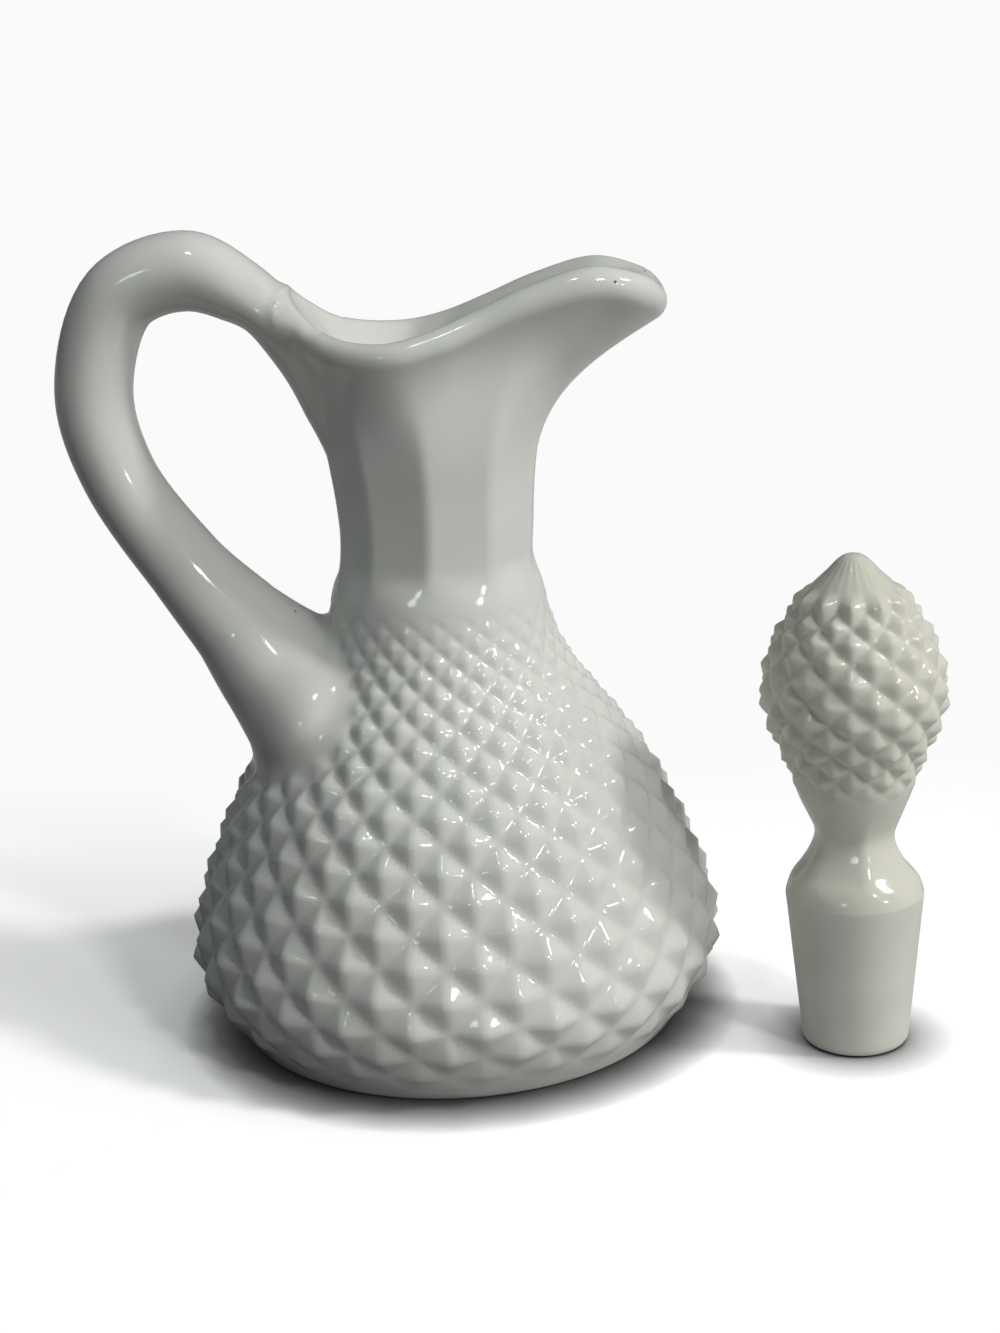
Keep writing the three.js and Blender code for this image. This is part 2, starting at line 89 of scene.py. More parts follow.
# Neck: radius across the corners of its panels. It leans towards the spout, and bends into the
# flare above NECK_BEND. The panels are flat from PANEL_RISE above the collar, and their corners are
# rounded over PANEL_ROUNDING degrees to each side. The lip is turned against them by LIP_TWIST.
NECK_PANELS = 10
NECK_R = 15.6
NECK_Z = 82
NECK_LEAN = 0.6
NECK_BEND = 78
FLARE_R = 16.45
FLARE_Z = 90
PANEL_RISE = 0.8 * COVE_RISE
PANEL_ROUNDING = 3.6
LIP_TWIST = 8

# Lip, seen from above, and its heights.
LIP_BEAD_R = 2.3
LIP_WIDTH = 35.2
LIP_BACK = 22
SADDLE_Z = 111.3
BACK_RISE = 7.1
SPOUT_RISE = 9.2
SPOUT_DROOP = 3.2
SPOUT_REACH = 34.2
SPOUT_BEAD = 1.35
SPOUT_WIDTH = 21.2
THROAT_WIDTH = 25

# The lip's bead, in degrees up from level: where the flare meets it and where the inside leaves it,
# and what the spout and the back add. Pulls are shares of the distance that a curve spans, and say
# how far it keeps the direction of each end.
UNDER_TURN = -36
UNDER_TURN_AT_SPOUT = -24
UNDER_TURN_AT_BACK = -15
OVER_TURN = 150
OVER_TURN_AT_SPOUT = -38
FLARE_PULL = 0.45
FLARE_PULL_AT_BACK = -0.2
FLARE_PULL_AT_SPOUT = -0.05
BEAD_PULL = 0.32
BEAD_PULL_AT_SPOUT = 0.04
MOUTH_PULL = 0.35

# Handle: its loop, its tip, which starts inside the back of the lip, and its root on the belly.
HANDLE_REACH = 0.42 - CRUET_LOW.x
HANDLE_TOP = CRUET_HIGH.z
HANDLE_THICK = 12.2
HANDLE_WIDTH = 14
HANDLE_TIP = 6.2
TIP_INSET = 1.1 * LIP_BEAD_R
TIP_DROP = 1.5 * LIP_BEAD_R
ROOT_Z = 56
ROOT_HEIGHT = 27
ROOT_WIDTH = 40

# Fillets where the handle grows out of the belly, of the lip and of its crest, and how far to each
# side the seam is smoothed. FACING_AXIS tells the wall inside the mouth, which keeps its place.
ROOT_FILLET = 2.2
LIP_FILLET = 5
CREST_FILLET = 1.8
CREST_Z = SADDLE_Z - 2
ROOT_SEAM_REACH = 2.4
LIP_SEAM_REACH = 8
LIP_SEAM_Z = SADDLE_Z - 8
SEAM_TOUCH = 0.01
SEAM_PASSES = 70
FACING_AXIS = -0.35

# Stopper, from the plug up. The cap grows out of the last row of diamonds over CAP_BLEND of its
# curve, and its flutes are gone at 1 / FLUTE_RATE of it.
STOPPER_H = STOPPER_HIGH.z
PLUG_LENGTH = 24.4
PLUG_END_R = 8.25
PLUG_EDGE_R = 1.4
RING_R = 10.55
RING_H = 0.9
WAIST_R = 6.35
WAIST_Z = 34
WAIST_PANELS = 6
WAIST_FLAT = 0.6
FOOT_R = 8.5
FOOT_Z = 40.5
FINIAL_R = 14.25
FINIAL_Z = 54
CROWN_R = 13.05
CROWN_Z = 63.8
CAP_R = 8.9
CAP_Z = 71
TIP_R = 2.4
FINIAL_COLUMNS = 12
FINIAL_PROPORTION = 0.88
FINIAL_DEPTH = 1.4
FINIAL_TURN = -97.7
FINIAL_FADE = 6
FINIAL_RIDGE = 0.2
FINIAL_SWELL = 1.15
CAP_FLUTES = 24
CAP_FLUTE_DEPTH = 0.06
CAP_BLEND = 0.2
FLUTE_RATE = 1.3
TIP_END_R = 0.06
LEAST_R = 0.05

# The ground socket in the neck, which the plug's taper fits. Faces up to GROUND_REACH from it have
# the ground finish. What cuts the handle off inside the mouth reaches CUT_SLACK into the wall.
PLUG_CLEARANCE = 0.1
SOCKET_TOP = 98.5
SOCKET_END = SOCKET_TOP - PLUG_LENGTH
SOCKET_RELIEF = 0.4
GROUND_REACH = 0.3
CUT_SLACK = WALL / 14

# Facets: columns round the cruet and the stopper, rows for each half-row of diamonds and for each
# plain stretch, and turns in degrees round the small edges.
CRUET_COLUMNS = 300
STOPPER_COLUMNS = 192
ROWS_PER_STEP = 6
FINIAL_ROWS_PER_STEP = 7
HANDLE_SIDES = 48
HANDLE_SPANS = 120
BASE_EDGE_TURNS = (0, 30, 60)
NECK_ROWS = 29
FLARE_ROWS = 22
BEAD_ROWS = 14
MOUTH_ROWS = 20
SOCKET_ROWS = 10
HOLLOW_ROWS = 16
PLUG_EDGE_TURNS = (0, 22, 45, 68, 90)
PLUG_ROWS = 14
RING_TURNS = (10, 20, 30)
STEM_ROWS = 40
CAP_ROWS = 28

# Roundness of the diamonds: ridges as shares of a cell, and the swell of the sides. The low ones
# are flat-sided pyramids, and above ROUND_FROM_Z they turn into round cushions. The softness keeps
# the bottom of a groove from being sharp.
ROUND_FROM_Z = FLANK_Z * 0.7
LOW_RIDGE = 0.1
HIGH_RIDGE = 0.26
LOW_SWELL = 1
HIGH_SWELL = 1.45
GROOVE_SOFTNESS = 0.015

# Dark specks of carbon in the cruet's glass: two by the spout, and one at the foot of the handle.
SPECKS = ((29.6, -12.4, 118.2), (34.1, 4.8, 118.2), (-22.5, -2.3, 68.4))
SPECK_R = 0.3
SPECK_COLOUR = "5A5C58"

# Glass: its refraction, how far red, green and blue light spread in it for each other, and between
# which levels of its clouds the colour turns from deep to pale.
GLASS_IOR = 1.5
OPAL_SPREAD = (1.0, 0.94, 0.85)
CLOUD_ENDS = (0.3, 0.7)

# The pressed glass's skin: how wide its clouds, smears and waves are, how deep light spreads under
# it, its roughness from clean to smeared, and the strength and depth of each relief.
CLOUD_WIDTH = 18
SMEAR_WIDTH = 9
WAVE_WIDTH = 5
PRESSED_SPREAD = 1.8
POLISH = (0.06, 0.14)
WAVE_RELIEF = (0.35, 0.12)
GRAIN_RELIEF = (0.3, 0.02)

# The ground glass's skin in the same way, and how strongly it glows with the light that spreads
# under it. Scratches and grit are drawn coarse enough to show. The scratches change only
# SCRATCH_PACE as fast round the taper as up it.
GROUND_CLOUD_WIDTH = 7
SCRATCH_WIDTH = 0.5
GRIT_WIDTH = 0.35
GROUND_SPREAD = 1.6
GROUND_GLOW = 0.25
WEAR = (0.42, 0.62)
SCRATCH_RELIEF = (0.25, 0.03)
GRIT_RELIEF = (0.5, 0.03)
SCRATCH_PACE = 0.06

# The backdrop's white, and the share of it that shows in the glass's reflections.
WHITE = "FAFAFA"
BACKDROP_IN_GLOSS = 0.15

# The floor's paper. Lengths are in metres: half its side, which reaches past the horizon of every
# view, how far its bounce takes to fall off to each side (BOUNCE_LEFT is painted shade for the dim
# left), how near the glass its painted shadow is dark and its painted shade lighter, and where it
# sweeps up behind the object.
FLOOR_HALF = 40
PAPER_BOUNCE = 0.52
PAPER_LIT = 1.25
PAPER_LIFT = 0.28
BOUNCE_SPREAD = 0.07
BOUNCE_LEFT = 1 / 8
CONTACT_REACH = 0.009
CONTACT_POWER = 2.0
SHADE_REACH = 0.015
SHADE_POWER = 0.8
SWEEP_START = 0.04
SWEEP_END = 0.14

# Light: azimuth, elevation and width as the glass sees them, in degrees, strength and colour.
DAYLIGHT = ("right window", -16, 38, 36, 0.34, "FFFFFF")
WINDOWS = (
    ("right window, near pane", -48, 37, 7, 0.64, "FFFFFF"),
    ("right window, far pane", -14, 41, 8, 1.05, "FFFFFF"),
    ("right window, low pane", -39, 17, 5, 0.2, "FFFFFF"),
    ("left window", -115, 22, 8, 0.13, "F0F8FF"),
    ("overhead lamp", -85, 68, 5, 0.17, "F6FBFF"),
)

# The dim room: the colour of its left and right walls, its strength low down and at the ceiling,
# and what the right side adds, from a little left of the middle on.
LEFT_WALL = "B9D2D8"
RIGHT_WALL = "FFFDF8"
ROOM_LOW = 0.01
ROOM_HIGH = 0.11
ROOM_RIGHT = 0.18
ROOM_RIGHT_START = -0.3

# Camera: place and nearest distance in metres, angles in degrees, and focal length and the sensor's
# long side in millimetres.
CAMERA_PLACE = (0.03018, -0.31927, 0.14415)
CAMERA_CLIP = 0.01
CAMERA_YAW = -3.758
CAMERA_PITCH = 15.132
CAMERA_ROLL = -2.899
CAMERA_LENS = 56.29
CAMERA_SENSOR = 36


def lerp(a, b, t):
    return a + (b - a) * t


def smooth_step(low, high, x):
    t = min(max((x - low) / (high - low), 0), 1)
    return t * t * (3 - 2 * t)


def smooth_max(a, b, blend):
    return max(a, b) + max(blend - abs(a - b), 0) ** 2 / (4 * blend)


def around(angle, radius, z):
    """A point at an angle in degrees and a distance from the upright axis."""
    return Vector((radius * cos(radians(angle)), radius * sin(radians(angle)), z))


def curve_through(points, closed=False, even=False):
    """A smooth curve through points, as a function of 0 to 1. An even one spends the same share on
    each stretch's bend. Any other is eased, so that short stretches beside long ones don't kink."""
    count = len(points)
    spans = count if closed else count - 1
    least = 1e-4

    def knot(i):
        if closed:
            return points[i % count]
        if i < 0:
            return points[0] if even else 2 * points[0] - points[1]
        if i >= count:
            return points[-1] if even else 2 * points[-1] - points[-2]
        return points[i]

    def at(t):
        place = (t % 1 if closed else min(max(t, 0), 1)) * spans
        i = min(int(place), spans - 1)
        w = place - i
        a, b, c, d = (knot(i + k) for k in (-1, 0, 1, 2))
        if even:
            before = after = middle = 1
        else:
            middle = max(sqrt((c - b).length), least)
            before = max(sqrt((b - a).length), least)
            after = max(sqrt((d - c).length), least)
        leave = ((b - a) / before - (c - a) / (before + middle) + (c - b) / middle) * middle
        reach = ((c - b) / middle - (d - b) / (middle + after) + (d - c) / after) * middle
        square = 3 * (c - b) - 2 * leave - reach
        cube = 2 * (b - c) + leave + reach
        return b + leave * w + square * w**2 + cube * w**3

    return at


class Profile:
    """A profile of radius and height that is walked by its length."""

    STEPS = 800

    def __init__(self, knots):
        curve = curve_through([Vector(knot) for knot in knots], even=True)
        self.points = [curve(k / self.STEPS) for k in range(self.STEPS + 1)]
        self.lengths = [0]
        for a, b in zip(self.points, self.points[1:]):
            self.lengths.append(self.lengths[-1] + (b - a).length)

    def length_at(self, z):
        k = next((k for k, p in enumerate(self.points) if p.y >= z), self.STEPS)
        if k == 0:
            return 0
        low, high = self.points[k - 1], self.points[k]
        share = min(max((z - low.y) / (high.y - low.y), 0), 1)
        return lerp(self.lengths[k - 1], self.lengths[k], share)

    def at(self, length):
        """The point at a length, and the direction of the profile there."""
        k = next((k for k, s in enumerate(self.lengths) if s >= length), self.STEPS)
        k = max(k, 1)
        share = (length - self.lengths[k - 1]) / (self.lengths[k] - self.lengths[k - 1])
        way = (self.points[k] - self.points[k - 1]).normalized()
        return self.points[k - 1].lerp(self.points[k], share), way

    def half_rows(self, from_z, to_z, columns, proportion):
        """Lengths of the half-rows of diamonds. They shrink with the radius, so that all diamonds
        keep one proportion."""
        steps = []
        length = self.length_at(from_z)
        end = self.length_at(to_z)
        while length <= end:
            steps.append(length)
            length += proportion * pi / columns * self.at(length)[0].x
        return steps


def diamond(across, up, ridge, swell):
    """Height of the diamond-point pattern: 1 at the tips, 0 in the grooves. Tips lie where both
    numbers are whole with an even sum. A swell of 1 leaves the sides flat, and more rounds them."""
    p = (across + up) / 2
    q = (across - up) / 2
    slope = smooth_max(abs(p - round(p)), abs(q - round(q)), ridge)
    return hypot(max(1 - (2 * slope) ** swell, 0), GROOVE_SOFTNESS)


def panelled(angle, panels, corner, rounding=PANEL_ROUNDING):
    """The share of the corner radius that a flat panel keeps at an angle. Corners are rounded over
    an angle to each side."""
    half = 180 / panels
    off = (angle - corner) % (2 * half) - half
    to_corner = half - abs(off)
    share = cos(radians(half)) / cos(radians(off))
    cut = radians(max(rounding - to_corner, 0)) ** 2 / (2 * radians(rounding))
    return share - tan(radians(half)) * cut


def stepped(steps, parts):
    """Each step's start and the places between, as pairs of place and length."""
    for k, (a, b) in enumerate(zip(steps, steps[1:])):
        for part in range(parts):
            yield k + part / parts, lerp(a, b, part / parts)
    yield len(steps) - 1, steps[-1]


def set_back(point, way, depth):
    """A profile's point, moved inwards by a depth square to the profile."""
    return Vector((point.x - depth * way.y, point.y + depth * way.x))


BELLY = Profile(
    [
        (BASE_R, 0),
        (BELLY_R, BELLY_Z),
        (FLANK_R, FLANK_Z),
        (SHOULDER_R, SHOULDER_Z),
        (COLLAR_R, COLLAR_Z),
    ]
)
PATTERN_Z = BAND_H + DIAMOND_DEPTH / 2
BELLY_STEPS = BELLY.half_rows(PATTERN_Z, PLAIN_Z, DIAMOND_COLUMNS, DIAMOND_PROPORTION)


def belly_rows():
    """Each row of the belly as its profile point, direction, place in the pattern and depth."""
    rows = []
    first = BELLY_STEPS[0]
    step = BELLY_STEPS[1] - first
    start = BELLY.length_at(BASE_EDGE_R)
    for k in range(ROWS_PER_STEP):
        length = lerp(start, first, k / ROWS_PER_STEP)
        rows.append(((length - first) / step, length))
    rows.extend(stepped(BELLY_STEPS, ROWS_PER_STEP))
    end = BELLY.length_at(COLLAR_Z)
    for k in range(1, ROWS_PER_STEP + 1):
        rows.append((len(BELLY_STEPS), lerp(BELLY_STEPS[-1], end, k / ROWS_PER_STEP)))
    out = []
    for place, length in rows:
        point, way = BELLY.at(length)
        fade = 1 - min(max((point.y - PLAIN_Z + DIAMOND_FADE) / DIAMOND_FADE, 0), 1) ** FADE_BEND
        low = lerp(BAND_DEPTH, 1, smooth_step(BAND_H, FULL_DEPTH_Z, point.y))
        out.append((point, way, place, DIAMOND_DEPTH * point.x / BELLY_R * fade * low))
    return out


def neck_radius(angle, z):
    """Distance from the axis to the neck's outside, from the collar to the foot of the flare. Its
    flat panels run out in a cove at the collar, and it leans a little towards the spout."""
    cove = 1 - min(max((z - COLLAR_Z) / COVE_RISE, 0), 1)
    spread = max((z - NECK_BEND) / (FLARE_Z - NECK_BEND), 0)
    corner = NECK_R + (FLARE_R - NECK_R) * spread**2 + (COLLAR_R - NECK_R) * cove**2
    flat = smooth_step(COLLAR_Z, COLLAR_Z + PANEL_RISE, z)
    lean = NECK_LEAN * smooth_step(COLLAR_Z, NECK_Z, z)
    turn = angle + degrees(lean / corner * sin(radians(angle)))
    panel = panelled(turn, NECK_PANELS, 180 / NECK_PANELS)
    place = around(turn, corner * lerp(1, panel, flat), z)
    return hypot(place.x + lean, place.y)


def crest_curve():
    """The lip's crest as a function of the angle: the point, and the level way outwards. Each knot
    has its angle, its place seen from above and its height. The far side mirrors the near one."""
    wide = LIP_WIDTH / 2
    half = [
        (0, SPOUT_REACH, 0, SADDLE_Z + SPOUT_RISE - SPOUT_DROOP),
        (20, SPOUT_REACH * 0.95, SPOUT_WIDTH * 0.34, SADDLE_Z + SPOUT_RISE - SPOUT_DROOP * 0.45),
        (38, SPOUT_REACH * 0.77, SPOUT_WIDTH / 2, SADDLE_Z + SPOUT_RISE),
        (56, SPOUT_REACH / 2, THROAT_WIDTH / 2, SADDLE_Z + SPOUT_RISE * 0.76),
        (74, SPOUT_REACH * 0.27, THROAT_WIDTH * 0.28 + wide * 0.4, SADDLE_Z + SPOUT_RISE * 0.42),
        (90, SPOUT_REACH * 0.08, wide * 0.93, SADDLE_Z + SPOUT_RISE * 0.15),
        (106, -LIP_BACK * 0.16, wide, SADDLE_Z),
        (122, -LIP_BACK * 0.43, wide * 0.89, SADDLE_Z + BACK_RISE * 0.03),
        (140, -LIP_BACK * 0.69, wide * 0.63, SADDLE_Z + BACK_RISE * 0.27),
        (160, -LIP_BACK * 0.92, wide * 0.33, SADDLE_Z + BACK_RISE * 0.82),
        (180, -LIP_BACK, 0, SADDLE_Z + BACK_RISE),
    ]
    other = [(360 - turn, x, -y, z) for turn, x, y, z in reversed(half[1:-1])]
    turns = [knot[0] for knot in half + other] + [360]
    curve = curve_through([Vector(knot[1:]) for knot in half + other], closed=True)
    spans = len(turns) - 1
    nudge = 1e-4

    def at(angle):
        angle %= 360
        k = max(i for i in range(spans) if turns[i] <= angle)
        t = (k + (angle - turns[k]) / (turns[k + 1] - turns[k])) / spans
        way = curve(t + nudge) - curve(t - nudge)
        return curve(t), Vector((way.y, -way.x, 0)).normalized()

    return at


def socket_radius(z):
    taper = (RING_R - PLUG_END_R) / PLUG_LENGTH
    return RING_R + PLUG_CLEARANCE - taper * (SOCKET_TOP - z)


def outside_rows(angle, rows):
    """The outside of the cruet at an angle, from the base's edge to the foot of the flare."""
    across = (angle - DIAMOND_TURN) * DIAMOND_COLUMNS / 180
    edge = BELLY.at(BELLY.length_at(BASE_EDGE_R))[0].x - BAND_SUNK
    out = []
    for turn in BASE_EDGE_TURNS:
        r = edge - BASE_EDGE_R * (1 - sin(radians(turn)))
        out.append(around(angle, r, BASE_EDGE_R * (1 - cos(radians(turn)))))
    for point, way, place, depth in rows:
        high = smooth_step(ROUND_FROM_Z, SHOULDER_Z, point.y)
        ridge = lerp(LOW_RIDGE, HIGH_RIDGE, high)
        swell = lerp(LOW_SWELL, HIGH_SWELL, high)
        sunk = depth * (1 - diamond(across, place, ridge, swell))
        if place < PATTERN_FULL:
            sunk = lerp(depth / 2, sunk, smooth_step(PATTERN_START, PATTERN_FULL, place))
        point = set_back(point, way, sunk)
        out.append(around(angle, point.x, point.y))
    for k in range(1, NECK_ROWS):
        z = lerp(COLLAR_Z, FLARE_Z, k / NECK_ROWS)
        out.append(around(angle, neck_radius(angle, z), z))
    return out


def lip_rows(angle, crest):
    """The flare, the bead of the lip and the way down to the socket at an angle, as two lists: up
    over the bead, and the inside."""
    point, out = crest(angle + LIP_TWIST * sin(radians(angle)))
    up = Vector((0, 0, 1))
    spout = max(0, cos(radians(angle))) ** 2
    back = max(0, -cos(radians(angle))) ** 2
    bead = LIP_BEAD_R * lerp(1, SPOUT_BEAD, spout)
    centre = point - up * bead

    def on_bead(turn):
        return centre + out * (bead * cos(radians(turn))) + up * (bead * sin(radians(turn)))

    def along(turn):
        return up * cos(radians(turn)) - out * sin(radians(turn))

    foot = around(angle, neck_radius(angle, FLARE_Z), FLARE_Z)
    way = (foot - around(angle, neck_radius(angle, FLARE_Z - 1), FLARE_Z - 1)).normalized()
    under = UNDER_TURN + UNDER_TURN_AT_SPOUT * spout**2 + UNDER_TURN_AT_BACK * back
    over = OVER_TURN + OVER_TURN_AT_SPOUT * spout
    lip = on_bead(under)
    reach = (lip - foot).length
    pull = FLARE_PULL + FLARE_PULL_AT_BACK * back + FLARE_PULL_AT_SPOUT * spout
    first = foot + way * (reach * pull)
    last = lip - along(under) * (reach * (BEAD_PULL + BEAD_PULL_AT_SPOUT * spout))
    flare = interpolate_bezier(foot, first, last, lip, FLARE_ROWS)
    flare.extend(on_bead(lerp(under, over, k / BEAD_ROWS)) for k in range(1, BEAD_ROWS))
    mouth = on_bead(over)
    seat = around(angle, socket_radius(SOCKET_TOP), SOCKET_TOP)
    drop = (mouth - seat).length * MOUTH_PULL
    leave = mouth + along(over) * drop
    arrive = seat + up * drop
    inside = interpolate_bezier(mouth, leave, arrive, seat, MOUTH_ROWS)
    return flare, inside, out


def hollow_outline():
    """Radius and height of the socket and the hollow, from under the seat to the floor's edge."""
    out = []
    for k in range(1, SOCKET_ROWS + 1):
        z = lerp(SOCKET_TOP, SOCKET_END, k / SOCKET_ROWS)
        out.append((socket_radius(z), z))
    throat = socket_radius(SOCKET_END) + SOCKET_RELIEF
    out.append((throat, SOCKET_END - SOCKET_RELIEF))
    skin = DIAMOND_DEPTH + WALL
    top = BELLY.length_at(COLLAR_Z)
    low = BELLY.length_at(FLOOR + WALL)
    for k in range(HOLLOW_ROWS + 1):
        point = set_back(*BELLY.at(lerp(top, low, k / HOLLOW_ROWS)), skin)
        out.append((max(point.x, throat), min(point.y, SOCKET_END - 2 * SOCKET_RELIEF)))
    out.append((BASE_R - 2 * skin, FLOOR))
    return out


def drawn_through(rings):
    """A closed skin: a circle that is extruded from ring to ring, with a fan at each end."""
    bm = bmesh.new()
    column = bm.verts.layers.int.new("column")
    row = bm.verts.layers.int.new("row")
    circle = bmesh.ops.create_circle(bm, segments=len(rings[0]), radius=1)["verts"]
    for k, vert in enumerate(circle):
        vert[column] = k
        vert.co = rings[0][k] * MM
    edges = bm.edges[:]
    ends = [edges]
    for number, ring in enumerate(rings[1:], start=1):
        made = bmesh.ops.extrude_edge_only(bm, edges=edges)["geom"]
        for vert in made:
            if isinstance(vert, bmesh.types.BMVert):
                vert[row] = number
                vert.co = ring[vert[column]] * MM
        edges = [edge for edge in made if isinstance(edge, bmesh.types.BMEdge) and edge.is_boundary]
    ends.append(edges)
    for rim in ends:
        cap = bmesh.ops.contextual_create(bm, geom=rim)["faces"]
        bmesh.ops.poke(bm, faces=cap)
    bmesh.ops.recalc_face_normals(bm, faces=bm.faces)
    return bm


def cruet_skin():
    """The whole bottle without its handle: outside, lip, socket and hollow in one closed skin. Also
    the space of mouth and hollow, as a cutter, and the number of rows on the outside."""
    crest = crest_curve()
    rows = belly_rows()
    hollow = hollow_outline()
    columns = []
    cutter = []
    for k in range(CRUET_COLUMNS):
        angle = 360 * k / CRUET_COLUMNS
        outer = outside_rows(angle, rows)
        flare, inside, out = lip_rows(angle, crest)
        columns.append(outer + flare + inside + [around(angle, r, z) for r, z in hollow])
        top = inside[0] + out * CUT_SLACK
        top.z = HANDLE_TOP + HANDLE_THICK
        cutter.append([top])
        cutter[-1].extend(point + out * CUT_SLACK for point in inside)
        cutter[-1].extend(around(angle, r + CUT_SLACK, z) for r, z in hollow)
    outer_rows = len(outer) + len(flare)
    return drawn_through(list(zip(*columns))), drawn_through(list(zip(*cutter))), outer_rows


def handle_skin():
    """The handle: it starts inside the back of the lip, loops out, and spreads over the shoulder.
    Each station has distance from the axis, height, half thickness and half width."""
    out = HANDLE_REACH - HANDLE_THICK / 2
    top = HANDLE_TOP - HANDLE_THICK / 2

    def tip(x, z, thick, wide):
        place = (x - TIP_INSET, z - TIP_DROP)
        return (*place, thick * HANDLE_TIP / 2, wide * HANDLE_WIDTH / 2)

    def loop(u, v, thick, wide):
        place = (lerp(NECK_R, out, u), lerp(ROOT_Z, top, v))
        return (*place, thick * HANDLE_THICK / 2, wide * HANDLE_WIDTH / 2)

    def root(u, v, thick, wide):
        place = (SHOULDER_R + u * ROOT_HEIGHT, ROOT_Z + v * ROOT_HEIGHT)
        return (*place, thick * ROOT_HEIGHT / 2, wide * ROOT_WIDTH / 2)

    stations = [
        tip(NECK_R + LIP_BEAD_R / 2, SOCKET_TOP + 2 * LIP_BEAD_R, 0.76, 0.6),
        tip(LIP_BACK, SADDLE_Z, 0.96, 1),
        tip(LIP_BACK + 1.8 * LIP_BEAD_R, SADDLE_Z + BACK_RISE, 1.32, 1.16),
        loop(0.34, 0.95, 0.82, 1.02),
        loop(0.56, 1, 1, 1),
        loop(0.845, 0.945, 0.98, 1),
        loop(0.99, 0.73, 0.98, 1),
        loop(0.917, 0.53, 0.95, 1),
        loop(0.662, 0.303, 1.03, 1.1),
        loop(0.456, 0.16, 1.28, 1.35),
        root(0.235, 0.15, 0.73, 0.68),
        root(0, -0.09, 0.94, 1),
        root(-0.18, -0.3, 0.97, 1),
    ]
    line = curve_through([Vector((-x, 0, z)) for x, z, _, _ in stations])
    size = curve_through([Vector((thick, wide)) for _, _, thick, wide in stations])
    across = Vector((0, 1, 0))
    nudge = 1e-3
    rings = []
    for i in range(HANDLE_SPANS + 1):
        t = i / HANDLE_SPANS
        way = line(t + nudge) - line(t - nudge)
        thick = way.cross(across).normalized()
        half = size(t)
        turns = [2 * pi * j / HANDLE_SIDES for j in range(HANDLE_SIDES)]
        rings.append(
            [line(t) + thick * (half.x * sin(a)) + across * (half.y * cos(a)) for a in turns]
        )
    return drawn_through(rings)


def fillet(z):
    """Radius of the fillet of handle and body at a height: at the root, under the lip, and at the
    lip's crest, where they meet almost flush."""
    crest = smooth_step(CREST_Z, SADDLE_Z + BACK_RISE, z)
    under = smooth_step(COLLAR_Z, FLARE_Z, z) * (1 - crest)
    return ROOT_FILLET + (LIP_FILLET - ROOT_FILLET) * under + (CREST_FILLET - ROOT_FILLET) * crest


def swelled(verts, tree):
    """New places for verts near another skin, lifted so that both meet in a fillet."""
    moves = []
    for vert in verts:
        radius = fillet(vert.co.z / MM) * MM
        place, _, _, gap = tree.find_nearest(vert.co, radius)
        if place is not None:
            moves.append((vert, vert.co + vert.normal * ((radius - gap) ** 2 / (2 * radius))))
    return moves


def as_object(name, bm):
    mesh = bpy.data.meshes.new(name)
    bm.to_mesh(mesh)
    piece = bpy.data.objects.new(name, mesh)
    bpy.context.scene.collection.objects.link(piece)
    return piece


def combine(piece, other, operation):
    """Joins another closed skin to a piece, or cuts it out, for good."""
    cut = piece.modifiers.new("combine", "BOOLEAN")
    cut.operation = operation
    cut.solver = "MANIFOLD"
    cut.object = other
    graph = bpy.context.evaluated_depsgraph_get()
    mesh = bpy.data.meshes.new_from_object(piece.evaluated_get(graph))
    piece.modifiers.clear()
    piece.data = mesh
    bpy.data.objects.remove(other)


def soften_seam(piece, one, other):
    """Smooths a piece along the line where two skins were joined, most on the line itself: a little
    at the root, and more where the handle flows out of the lip. The wall inside the mouth keeps its
    edge."""
    bm = bmesh.new()
    bm.from_mesh(piece.data)
    seam = []
    for vert in bm.verts:
        touched = [skin.find_nearest(vert.co, SEAM_TOUCH * MM)[0] for skin in (one, other)]
        if None not in touched:
            seam.append(vert)
    near = KDTree(len(seam))
    for k, vert in enumerate(seam):
        near.insert(vert.co, k)
    near.balance()
    beside = [f for f in bm.faces if near.find(f.calc_center_median())[2] < ROOT_SEAM_REACH * MM]
    flat = bmesh.ops.triangulate(bm, faces=beside)
    bmesh.ops.beautify_fill(bm, faces=flat["faces"], edges=flat["edges"])
    shares = []
    for vert in bm.verts:
        rise = smooth_step(NECK_Z, LIP_SEAM_Z, vert.co.z / MM)
        reach = lerp(ROOT_SEAM_REACH, LIP_SEAM_REACH, rise)
        inwards = vert.normal.xy.dot(vert.co.xy.normalized()) < FACING_AXIS
        share = near.find(vert.co)[2] / (reach * MM)
        if share < 1 and not (inwards and vert.co.z > FLARE_Z * MM):
            shares.append((share, vert))
    for k in range(SEAM_PASSES):
        verts = [vert for share, vert in shares if share < 1 - k / SEAM_PASSES]
        bmesh.ops.smooth_vert(
            bm, verts=verts, factor=0.5, use_axis_x=True, use_axis_y=True, use_axis_z=True
        )
    bm.to_mesh(piece.data)
    bm.free()


def make_cruet():
    body, space, outer_rows = cruet_skin()
    handle = handle_skin()
    row = body.verts.layers.int["row"]
    outside = [v for v in body.verts if v[row] < outer_rows]
    body_tree = BVHTree.FromBMesh(body)
    handle_tree = BVHTree.FromBMesh(handle)
    moves = swelled(outside, handle_tree) + swelled(handle.verts, body_tree)
    for vert, place in moves:
        vert.co = place
    body_tree = BVHTree.FromBMesh(body)
    handle_tree = BVHTree.FromBMesh(handle)
    piece = as_object("cruet_glass", body)
    grip = as_object("handle_glass", handle)
    combine(grip, as_object("mouth_space", space), "DIFFERENCE")
    combine(piece, grip, "UNION")
    soften_seam(piece, body_tree, handle_tree)
    return piece


